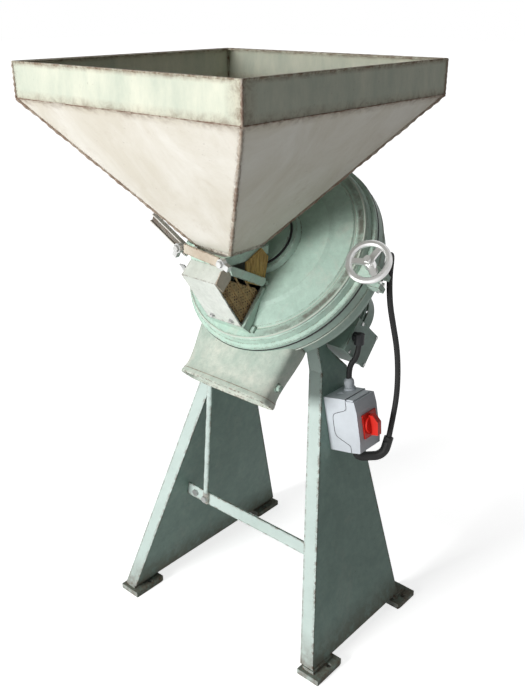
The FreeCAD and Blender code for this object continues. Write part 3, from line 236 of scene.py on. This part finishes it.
def hopper_enamel():
    """Whitish on the funnel and green-grey on the band, stained in streaks, with rust on every corner."""
    n = Nodes("hopper_paint")
    streaks = n.ramp(n.noise(7.0, 8.0, 0.7, (1.0, 1.0, 0.25), 0.6), 0.36, 0.66)
    funnel = n.mix(streaks, (0.64, 0.60, 0.51), (0.76, 0.735, 0.67))
    stains = n.ramp(n.noise(16.0, 8.0, 0.75, None, 0.4), 0.56, 0.76, 0.0, 0.45)
    funnel = n.mix(stains, funnel, (0.46, 0.38, 0.28))
    band = n.mix(n.ramp(n.noise(12.0, 8.0, 0.7, (1.0, 1.0, 0.4)), 0.35, 0.65), (0.47, 0.52, 0.43),
                 (0.66, 0.67, 0.55))
    body = n.mix(n.height(BAND_LOW - 0.002, BAND_LOW + 0.002), funnel, band)
    # Painted light: the band's front wall, turned to the key light, is lightened a little.
    front_band_light = n.calc("MULTIPLY", n.height(FRONT_FACE + 0.007, FRONT_FACE + 0.004, "Y"), n.height(1.30, 1.31))
    body = n.mix(n.calc("MULTIPLY", front_band_light, 0.15), body, (0.66, 0.67, 0.57))
    edge = n.calc("MULTIPLY", n.edges(0.011), n.ramp(n.noise(60.0, 7.0, 0.8), 0.40, 0.58))
    spots = n.calc("MULTIPLY", n.ramp(n.noise(210.0, 4.0, 0.7), 0.62, 0.70),
                   n.ramp(n.noise(22.0, 6.0, 0.7), 0.50, 0.66))
    rust = n.calc("MAXIMUM", edge, n.calc("MULTIPLY", spots, 0.7))
    split = n.tree.nodes.new("ShaderNodeSeparateXYZ")
    n.link(n.place, split.inputs["Vector"])
    far_x = n.ramp(split.outputs["X"], SIDE_FACE - 0.038, SIDE_FACE)
    far_y = n.ramp(split.outputs["Y"], FRONT_FACE + 0.038, FRONT_FACE)
    corner = n.calc("MULTIPLY", n.calc("MULTIPLY", far_x, far_y), n.height(BAND_LOW - 0.033, BAND_LOW - 0.003))
    seam = n.calc("MULTIPLY", n.height(BAND_LOW - 0.015, BAND_LOW - 0.001),
                  n.ramp(split.outputs["Z"], BAND_LOW + 0.018, BAND_LOW + 0.001))
    rim = n.height(RIM_TOP - 0.010, RIM_TOP)
    near = n.calc("MAXIMUM", corner, n.calc("MULTIPLY", seam, 0.7))
    near = n.calc("MAXIMUM", near, n.calc("MULTIPLY", rim, 0.8))
    blotch = n.ramp(n.noise(34.0, 8.0, 0.8, None, 0.6), 0.46, 0.60)
    rust = n.calc("MAXIMUM", rust, n.calc("MULTIPLY", n.calc("MULTIPLY", near, blotch), 0.75))
    body = n.mix(n.calc("MULTIPLY", near, 0.45), body, (0.42, 0.34, 0.24))
    colour = n.mix(rust, body, (0.12, 0.055, 0.028))
    n.bump(n.noise(38.0, 6.0, 0.7), 0.18, 0.004)
    n.shader.inputs["Specular IOR Level"].default_value = 0.2
    return n.finish(colour, n.ramp(rust, 0.0, 1.0, 0.55, 0.9))


def pierced_rust():
    """Brown sheet with rows of small holes, painted near-black as the shade seen through them."""
    n = Nodes("screen_rust")
    cells = n.tree.nodes.new("ShaderNodeTexVoronoi")
    cells.inputs["Scale"].default_value = 150.0
    cells.inputs["Randomness"].default_value = 0.15
    n.link(n.place, cells.inputs["Vector"])
    holes = n.ramp(cells.outputs["Distance"], 0.26, 0.34)
    cloud = n.ramp(n.noise(40.0, 7.0, 0.7), 0.35, 0.65)
    body = n.mix(cloud, (0.25, 0.165, 0.08), (0.54, 0.38, 0.18))
    n.bump(holes, 0.5, 0.001)
    # Painted shade: the hole cells are near-black.
    return n.finish(n.mix(holes, (0.02, 0.015, 0.01), body), rough_value=0.85)


def board_wood():
    """Dusty ochre board with meal caught in its grain."""
    n = Nodes("ochre_board")
    grain = n.ramp(n.noise(26.0, 8.0, 0.7, (1.0, 5.0, 1.0), 1.2), 0.34, 0.66)
    body = n.mix(grain, (0.20, 0.115, 0.035), (0.66, 0.44, 0.14))
    dust = n.ramp(n.noise(90.0, 6.0, 0.8), 0.56, 0.74, 0.0, 0.6)
    n.bump(grain, 0.4, 0.002)
    return n.finish(n.mix(dust, body, (0.66, 0.55, 0.34)), rough_value=0.9)


def metal(name, colour, dark, rough=0.42):
    """Bare or plated metal, dulled in clouds."""
    n = Nodes(name)
    cloud = n.ramp(n.noise(30.0, 6.0, 0.65), 0.3, 0.7)
    n.bump(n.noise(220.0, 3.0, 0.6), 0.1, 0.001)
    return n.finish(n.mix(cloud, dark, colour), n.ramp(cloud, 0.0, 1.0, rough + 0.15, rough - 0.05), 0.85)


def plastic(name, colour, rough):
    """Moulded plastic or rubber with a fine grain."""
    n = Nodes(name)
    cloud = n.ramp(n.noise(14.0, 5.0), 0.3, 0.7)
    n.bump(n.noise(600.0, 2.0), 0.15, 0.0004)
    n.shader.inputs["Specular IOR Level"].default_value = 0.3
    dull = tuple(0.82 * c for c in colour)
    return n.finish(n.mix(cloud, dull, colour), n.ramp(cloud, 0.0, 1.0, rough + 0.1, rough - 0.05))


LOOKS = {
    "hopper_paint": hopper_enamel(),
    "pale_paint": paint("pale_paint", (0.74, 0.77, 0.72), (0.60, 0.64, 0.58), dust=0.2),
    "cover_paint": paint("cover_paint", (0.58, 0.755, 0.65), (0.44, 0.60, 0.51), dust=0.65, shade_step=True),
    "drum_paint": paint("drum_paint", (0.51, 0.66, 0.575), (0.39, 0.52, 0.445), dust=0.6),
    # The legs' front colour is painted light on the faces turned to the key light.
    "leg_paint": paint("leg_paint", (0.265, 0.385, 0.335), (0.19, 0.285, 0.245), 0.12, 0.009, 0.9, darken_low=True,
                       front=(0.59, 0.69, 0.65)),
    "motor_paint": paint("motor_paint", (0.36, 0.48, 0.42), (0.27, 0.37, 0.32)),
    "weathered_steel": paint("weathered_steel", (0.64, 0.59, 0.49), (0.47, 0.39, 0.30), dust=0.5, rust_amount=0.9),
    "gate_steel": metal("gate_steel", (0.60, 0.60, 0.56), (0.36, 0.33, 0.29)),
    "zinc_steel": metal("zinc_steel", (0.55, 0.56, 0.55), (0.38, 0.38, 0.37)),
    "cast_wheel": metal("cast_wheel", (0.80, 0.80, 0.79), (0.60, 0.60, 0.59), 0.30),
    "black_rubber": plastic("black_rubber", (0.02, 0.02, 0.02), 0.6),
    "black_plastic": plastic("black_plastic", (0.018, 0.019, 0.021), 0.45),
    "box_plastic": plastic("box_plastic", (0.64, 0.68, 0.72), 0.4),
    "red_plastic": plastic("red_plastic", (0.78, 0.03, 0.018), 0.32),
    "winding": metal("winding", (0.50, 0.24, 0.10), (0.30, 0.14, 0.06)),
    "screen_rust": pierced_rust(),
    "ochre_board": board_wood(),
}

SPOUT_LOOK = paint("spout_paint", (0.76, 0.76, 0.67), (0.33, 0.46, 0.39), dust=0.9, chip=0.006,
                   rust_amount=0.9)
EDGE_LOOK = paint("rusty_edge", (0.58, 0.52, 0.43), (0.17, 0.095, 0.06), dust=0.8, rust_amount=0.9)
BEAD_LOOK = plastic("cream_bead", (0.60, 0.66, 0.58), 0.5)
# Painted shade for the inside of the gate pull's channel, with rust chips and dust.
CHANNEL_SHADE_LOOK = paint("channel_painted_shade", (0.20, 0.185, 0.155), (0.10, 0.09, 0.075), dust=0.35, rust_amount=0.9)
slots = {entry["node"]: entry["material_slot"] for entry in frame["record"]["subparts"]}
for node, obj in NODES.items():
    look = LOOKS[slots[node]]
    if not obj.data.materials:
        obj.data.materials.append(look)
    for index in range(len(obj.material_slots)):
        obj.material_slots[index].material = look

# Small detail
HEAD = Matrix.Translation(HEAD_PLACE) @ Matrix.Rotation(HEAD_TILT, 4, "X")


def keep(obj, body, look, special=None):
    """Adds a piece to the scene, with its finish, and lets it ride on a body."""
    scene.collection.objects.link(obj)
    obj.data.materials.append(special or LOOKS[look])
    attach(obj, body)
    return obj


def keep_mesh(name, mesh, body, look, special=None):
    """Writes a finished bmesh into a new piece."""
    data = bpy.data.meshes.new(name)
    mesh.to_mesh(data)
    mesh.free()
    return keep(bpy.data.objects.new(name, data), body, look, special)


def skin(mesh, sections, closed=False):
    """Joins a row of sections, with equal numbers of points, by a band of faces; returns its rings."""
    rings = [[mesh.verts.new(point) for point in section] for section in sections]
    for first, second in zip(rings, rings[1:] + rings[:1] if closed else rings[1:]):
        for index in range(len(first)):
            after = (index + 1) % len(first)
            mesh.faces.new((first[index], first[after], second[after], second[index]))
    return rings


def wire(name, points, radius, around, steps, closed=False, widths=None):
    """A round curve through the points, thicker or thinner along its way."""
    curve = bpy.data.curves.new(name, "CURVE")
    curve.dimensions = "3D"
    curve.bevel_depth = radius
    curve.bevel_resolution = around
    curve.resolution_u = steps
    curve.use_fill_caps = True
    spline = curve.splines.new("NURBS")
    spline.points.add(len(points) - 1)
    for index, (point, target) in enumerate(zip(points, spline.points)):
        target.co = (*point, 1.0)
        target.radius = widths[index] if widths else 1.0
    spline.order_u = 3
    spline.use_endpoint_u = not closed
    spline.use_cyclic_u = closed
    return bpy.data.objects.new(name, curve)


def line(name, points, radius, body, look, closed=False, widths=None, special=None):
    """A thin wire as a piece of its own."""
    keep(wire(name, points, radius, 2, 3, closed, widths), body, look, special)


def bead(name, start, end, thick, body, look, count=60, phase=0.0):
    """A weld bead: a wire whose width swells and narrows as the rod was moved along."""
    start, end = Vector(start), Vector(end)
    points, widths = [], []
    for step in range(count + 1):
        share = step / count
        points.append(start.lerp(end, share))
        ripple = 0.30 * math.sin(share * count * 1.9 + phase)
        drift = 0.20 * math.sin(share * 37.0 + 3.0 * phase)
        widths.append(1.0 + ripple + drift)
    line(name, points, thick, body, look, widths=widths, special=EDGE_LOOK)


def head_ring(name, radius, height, thick, body, look, special=None, count=48):
    """A wire round the head's axis, at a radius and height above the drum's joint."""
    angles = [2.0 * math.pi * step / count for step in range(count)]
    points = [HEAD @ Vector((radius * math.cos(a), radius * math.sin(a), height)) for a in angles]
    line(name, points, thick, body, look, True, special=special)


FUNNEL_TOP = ((-SIDE_FACE, FRONT_FACE), (SIDE_FACE, FRONT_FACE), (SIDE_FACE, 0.219), (-SIDE_FACE, 0.219))
FUNNEL_LOW = ((-0.049, -0.149), (0.049, -0.149), (0.049, -0.051), (-0.049, -0.051))
for number, (top, low) in enumerate(zip(FUNNEL_TOP, FUNNEL_LOW)):
    seam = (*top, BAND_LOW)
    bead("funnel_weld_%d" % number, seam, (*low, THROAT_LOW), 0.0034, "cover_unit", "hopper_paint", 80, number)
    bead("band_weld_%d" % number, seam, (*top, RIM_TOP), 0.0024, "cover_unit", "hopper_paint", 20, number)
for number in range(4):
    first, second = FUNNEL_TOP[number], FUNNEL_TOP[(number + 1) % 4]
    bead("band_seam_%d" % number, (*first, BAND_LOW), (*second, BAND_LOW), 0.0011, "cover_unit", "hopper_paint",
         60, number)
    line("rim_roll_%d" % number, [(*first, RIM_TOP - 0.0005), (*second, RIM_TOP - 0.0005)], 0.0018, "cover_unit",
         "hopper_paint")

head_ring("cover_bead", 0.2255, 0.0318, 0.0020, "cover_unit", "pale_paint", BEAD_LOOK)
head_ring("cover_step", 0.2035, 0.0325, 0.0014, "cover_unit", "pale_paint", BEAD_LOOK)
head_ring("seal_edge", 0.2400, -0.0012, 0.0030, "cover_unit", "black_rubber")
head_ring("drum_bead", 0.2405, -0.0312, 0.0016, "stand", "drum_paint", BEAD_LOOK)


def hex_bolt(name, place, direction, across, tall, body, look="zinc_steel"):
    """A hexagon head with a rounded top on a round washer."""
    washer, crown = 0.0015, 0.0012
    stack = ((24, 0.78, 0.74, washer, washer / 2), (6, 0.577, 0.577, tall, washer + tall / 2),
             (24, 0.46, 0.30, crown, washer + crown / 2 + tall))
    mesh = bmesh.new()
    for segments, low, top, depth, height in stack:
        bmesh.ops.create_cone(mesh, cap_ends=True, segments=segments, radius1=across * low, radius2=across * top,
                              depth=depth, matrix=Matrix.Translation((0, 0, height)))
    data = bpy.data.meshes.new(name)
    mesh.to_mesh(data)
    mesh.free()
    obj = bpy.data.objects.new(name, data)
    turn = Vector(direction).normalized().to_track_quat("Z", "Y").to_matrix().to_4x4()
    obj.matrix_world = Matrix.Translation(place) @ turn
    keep(obj, body, look)


def head_bolt(name, place, direction, across, tall):
    """A painted hexagon bolt on the drum, placed in the tilted head's own directions."""
    aim = HEAD.to_3x3() @ Vector(direction)
    hex_bolt(name, HEAD @ Vector(place), aim, across, tall, "stand", "drum_paint")


DRUM_BOLT_CIRCLE = 0.234
head_bolt("spout_bolt", (0.1285, -0.286, -0.045), (1, 0, 0), 0.014, 0.008)
for number in range(4):
    angle = math.radians(45 + 90 * number)
    place = (DRUM_BOLT_CIRCLE * math.cos(angle), DRUM_BOLT_CIRCLE * math.sin(angle), -0.0303)
    head_bolt("drum_bolt_%d" % number, place, (0, 0, -1), 0.010, 0.006)


def loft(name, sections, body, look, special=None):
    """A closed skin over a row of sections."""
    mesh = bmesh.new()
    rings = skin(mesh, sections)
    mesh.faces.new(reversed(rings[0]))
    mesh.faces.new(rings[-1])
    bmesh.ops.recalc_face_normals(mesh, faces=mesh.faces)
    keep_mesh(name, mesh, body, look, special)


PULL_PLACE = (-0.071, -0.155, 0.9955)
PULL_RISE = math.radians(28.5)
PULL_STEPS = 72


def pull_shade_strip():
    """A dark ribbed strip with a crowned face, lying in the gate pull's channel: painted shade for the channel's
    shaded inside.
    """
    channel = Matrix.Translation(PULL_PLACE) @ Matrix.Rotation(PULL_RISE, 4, "Y")
    near, far = -0.004, -0.1185
    sections = []
    for step in range(PULL_STEPS + 1):
        share = step / PULL_STEPS
        end = min(1.0, 14.0 * share, 14.0 * (1.0 - share)) ** 0.5
        crown = -0.0072 - 0.0024 * end - 0.0005 * math.sin(share * 150.0)
        outline = [(-0.0031, 0.0034), (-0.0072, 0.0034), (crown, 0.0062), (crown - 0.0006, 0.0100),
                   (crown, 0.0138), (-0.0072, 0.0166), (-0.0031, 0.0166)]
        sections.append([channel @ Vector((near + (far - near) * share, y, z)) for y, z in outline])
    loft("pull_shade_strip", sections, "gate", "gate_steel", CHANNEL_SHADE_LOOK)


STAY_TOP = Vector((-0.108, -0.060, 0.700))
STAY_LOW = Vector((-0.158, -0.0447, 0.286))
STAY_STEPS = 48
STAY_CORNERS = 16


def stay_strip():
    """The flattened middle of the stay, round its rod, slightly uneven along its edges."""
    across = (STAY_LOW - STAY_TOP).cross(Vector((0.0, 1.0, 0.0))).normalized()
    deep = (STAY_LOW - STAY_TOP).cross(across).normalized()
    angles = [2.0 * math.pi * corner / STAY_CORNERS for corner in range(STAY_CORNERS)]
    sections = []
    for step in range(STAY_STEPS + 1):
        share = step / STAY_STEPS
        centre = STAY_TOP.lerp(STAY_LOW, 0.05 + 0.91 * share)
        wide = 0.0084 + 0.0005 * math.sin(share * 31.0) + 0.0003 * math.sin(share * 83.0)
        sections.append([centre + across * wide * math.cos(a) + deep * 0.0050 * math.sin(a) for a in angles])
    loft("stay_strip", sections, "stand", "leg_paint")


pull_shade_strip()
stay_strip()


def spout_ring(down, half, top, low, squareness, count=48):
    """Points of a rounded flat tube's outline at a distance down the cover, in the head's directions."""
    power = 2.0 / squareness
    points = []
    for step in range(count):
        angle = 2.0 * math.pi * step / count
        across, deep = math.cos(angle), math.sin(angle)
        x = half * math.copysign(abs(across) ** power, across)
        out = (top + low) / 2 + (top - low) / 2 * math.copysign(abs(deep) ** power, deep)
        points.append(HEAD @ Vector((x, -down, out)))
    return points


def make_spout():
    """The cast outlet: a flat tube with rounded sides, a waist and a rolled lip, open at both ends.

    Each station is its distance down the cover, half width, front, back and squareness.
    """
    stations = [(0.182, 0.140, -0.006, -0.087, 6.0), (0.215, 0.138, -0.006, -0.088, 5.0),
                (0.250, 0.133, -0.009, -0.088, 4.4), (0.285, 0.128, -0.011, -0.087, 4.0),
                (0.312, 0.127, -0.010, -0.087, 3.8), (0.322, 0.131, -0.006, -0.089, 3.8),
                (0.334, 0.132, -0.003, -0.090, 3.8)]
    inner = [(0.334, 0.124, -0.011, -0.082, 3.8), (0.312, 0.120, -0.017, -0.080, 3.8),
             (0.250, 0.126, -0.016, -0.081, 4.4), (0.182, 0.133, -0.013, -0.080, 6.0)]
    mesh = bmesh.new()
    skin(mesh, [spout_ring(*station) for station in stations + inner], True)
    bmesh.ops.recalc_face_normals(mesh, faces=mesh.faces)
    obj = keep_mesh("spout_casting", mesh, "stand", "drum_paint", SPOUT_LOOK)
    for face in obj.data.polygons:
        face.use_smooth = True
    smooth = obj.modifiers.new("smooth", "SUBSURF")
    smooth.levels = smooth.render_levels = 1
    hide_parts("spout")


make_spout()
line("spout_lip_line", spout_ring(0.3195, 0.1292, -0.0078, -0.0885, 3.8), 0.0011, "stand", "drum_paint", True,
     special=EDGE_LOOK)

PLATE_TOP = Vector((0.0, -0.197, 0.966))
PLATE_DOWN = Vector((0.0, 0.076, -0.116)).normalized()
PLATE_OUT = Vector((0.0, -0.116, -0.076)).normalized()
for side, across in (("left", -0.028), ("right", 0.028)):
    place = PLATE_TOP + PLATE_DOWN * 0.124 + PLATE_OUT * 0.0002 + Vector((across, 0.0, 0.0))
    hex_bolt("chute_bolt_%s" % side, place, PLATE_OUT, 0.008, 0.004, "cover_unit")

BOX_PLACE = Vector((0.1546, 0.097, 0.582))
BOX_OUT = Vector((0.98058, 0.0, 0.19612))
BOX_UP = Vector((-0.19612, 0.0, 0.98058))


def on_box(across, up, out):
    """A point given across, up and out from the switch box's back."""
    return BOX_PLACE + Vector((0.0, across, 0.0)) + BOX_UP * up + BOX_OUT * out


def box_seam(side, points):
    """The dark joint between the switch box's base and cover, on one side."""
    line("box_seam_%s" % side, points, 0.0007, "stand", "box_plastic", special=LOOKS["black_plastic"])


# How far out from the box's back and how far up the seam runs, in millimetres
SEAM = [(62, -65.5), (62, -58), (62, -48), (41, -38), (20, -28), (20, 0), (20, 26), (41, 33), (62, 40), (62, 52),
        (62, 61)]
BOX_HALF = 0.0402
for side, across in (("left", -BOX_HALF), ("right", BOX_HALF)):
    box_seam(side, [on_box(across, up / 1000, out / 1000) for out, up in SEAM])
box_seam("top", [on_box(across, 0.0663, 0.0622) for across in (-0.0385, 0.0, 0.0385)])


STRAP_Y = -0.1712
STRAP_WIDE = 0.014
STRAP_THICK = 0.0020


def strap(name, start, end):
    """A flat steel strap between two points given as X and Z, bent a little, with rounded long edges."""
    start, end = Vector((start[0], STRAP_Y, start[1])), Vector((end[0], STRAP_Y, end[1]))
    side = (end - start).normalized().cross(Vector((0, 1, 0))).normalized() * STRAP_WIDE / 2
    sections = []
    for share, back in ((0.0, 0.0), (0.3, 0.0), (0.5, 0.0012), (0.7, 0.0), (1.0, 0.0)):
        middle = start.lerp(end, share) + Vector((0, back, 0))
        sections.append([middle + sign * side + Vector((0, depth, 0))
                         for sign, depth in ((-1, 0), (1, 0), (1, STRAP_THICK), (-1, STRAP_THICK))])
    mesh = bmesh.new()
    rings = skin(mesh, sections)
    mesh.faces.new(rings[0])
    mesh.faces.new(rings[-1])
    bmesh.ops.recalc_face_normals(mesh, faces=mesh.faces)
    obj = keep_mesh(name, mesh, "cover_unit", "zinc_steel")
    rounding = obj.modifiers.new("rounding", "BEVEL")
    rounding.width = STRAP_THICK * 0.3
    rounding.segments = 2


strap("eye_strap_left", (-0.082, 1.0150), (-0.040, 1.0125))
strap("eye_strap_right", (0.028, 1.0060), (0.054, 1.0045))

# Leads
SUPPLY = [(0.266, 0.150, 0.536), (0.267, 0.162, 0.590), (0.266, 0.175, 0.645), (0.263, 0.178, 0.705),
          (0.259, 0.173, 0.765), (0.254, 0.158, 0.825), (0.251, 0.142, 0.882), (0.240, 0.152, 0.938),
          (0.216, 0.196, 0.968), (0.182, 0.242, 0.958), (0.144, 0.27743, 0.88214), (0.120, 0.245, 0.8387),
          (0.120, 0.19861, 0.78627)]
SHORT = [(0.1791, 0.13754, 0.77662), (0.1791, 0.13754, 0.73462), (0.16048, 0.121, 0.70555),
         (0.17068, 0.121, 0.65456)]


def lead(name, node, points):
    """A rubber lead along a route, in place of the imported lead, which is hidden."""
    obj = keep(wire(name, points, 0.00675, 6, 12), "stand", "black_rubber")
    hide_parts(node)


lead("supply_cable", "supply_lead", SUPPLY)
lead("short_cable", "motor_lead", SHORT)

# Floor, backdrop and light
WHITE = (1.0, 1.0, 1.0, 1.0)
FLOOR_COLOUR = (0.93, 0.93, 0.93, 1.0)
FLOOR_HALF = 30
WORLD_LIGHT = 0.118
FLOOR_GLOW = 0.74
GLOW_NEAR = 0.9
GLOW_FAR = 2.6
MIDDLE = Vector((0.0, 0.0, 0.75))


def seen_directly(tree):
    """1 for rays that show the surroundings: from the camera, in a reflection or through glass."""
    rays = tree.nodes.new("ShaderNodeLightPath")
    total = rays.outputs["Is Camera Ray"]
    for kind in ("Is Glossy Ray", "Is Transmission Ray"):
        highest = tree.nodes.new("ShaderNodeMath")
        highest.operation = "MAXIMUM"
        tree.links.new(total, highest.inputs[0])
        tree.links.new(rays.outputs[kind], highest.inputs[1])
        total = highest.outputs["Value"]
    return total


def stage_material():
    """Nearly white where it is seen, and less so near the object, so that its soft shadow stays."""
    material = bpy.data.materials.new("studio_floor")
    material.use_nodes = True
    tree = material.node_tree
    shader = tree.nodes["Principled BSDF"]
    shader.inputs["Base Color"].default_value = FLOOR_COLOUR
    shader.inputs["Roughness"].default_value = 1.0
    shader.inputs["Specular IOR Level"].default_value = 0.0
    shader.inputs["Emission Color"].default_value = WHITE
    place = tree.nodes.new("ShaderNodeNewGeometry").outputs["Position"]
    away = tree.nodes.new("ShaderNodeVectorMath")
    away.operation = "LENGTH"
    tree.links.new(place, away.inputs[0])
    glow = tree.nodes.new("ShaderNodeMapRange")
    glow.inputs["From Min"].default_value = GLOW_NEAR
    glow.inputs["From Max"].default_value = GLOW_FAR
    glow.inputs["To Min"].default_value = FLOOR_GLOW
    glow.inputs["To Max"].default_value = 1.0
    tree.links.new(away.outputs["Value"], glow.inputs["Value"])
    shown = tree.nodes.new("ShaderNodeMath")
    shown.operation = "MULTIPLY"
    tree.links.new(glow.outputs["Result"], shown.inputs[0])
    tree.links.new(seen_directly(tree), shown.inputs[1])
    tree.links.new(shown.outputs["Value"], shader.inputs["Emission Strength"])
    return material


floor_mesh = bpy.data.meshes.new("studio_floor")
corners = [(FLOOR_HALF * x, FLOOR_HALF * y, 0) for x, y in ((-1, -1), (1, -1), (1, 1), (-1, 1))]
floor_mesh.from_pydata(corners, [], [(0, 1, 2, 3)])
floor = bpy.data.objects.new("studio_floor", floor_mesh)
floor.data.materials.append(stage_material())
scene.collection.objects.link(floor)

world = bpy.data.worlds.new("studio")
world.use_nodes = True
scene.world = world
background = world.node_tree.nodes["Background"]
strength = world.node_tree.nodes.new("ShaderNodeMapRange")
strength.inputs["To Min"].default_value = WORLD_LIGHT
strength.inputs["To Max"].default_value = 1.0
world.node_tree.links.new(seen_directly(world.node_tree), strength.inputs["Value"])
world.node_tree.links.new(strength.outputs["Result"], background.inputs["Strength"])
background.inputs["Color"].default_value = WHITE


def lamp(name, place, size, power):
    """A square lamp that looks at the machine's middle."""
    data = bpy.data.lights.new(name, "AREA")
    data.shape = "SQUARE"
    data.size = size
    data.energy = power
    obj = bpy.data.objects.new(name, data)
    obj.location = place
    obj.rotation_euler = (MIDDLE - Vector(place)).to_track_quat("-Z", "Y").to_euler()
    scene.collection.objects.link(obj)


lamp("key_light", (-0.75, -4.8, 1.7), 1.3, 215)
lamp("top_light", (-0.8, -1.6, 4.2), 2.4, 24)

scene.view_settings.view_transform = "Standard"
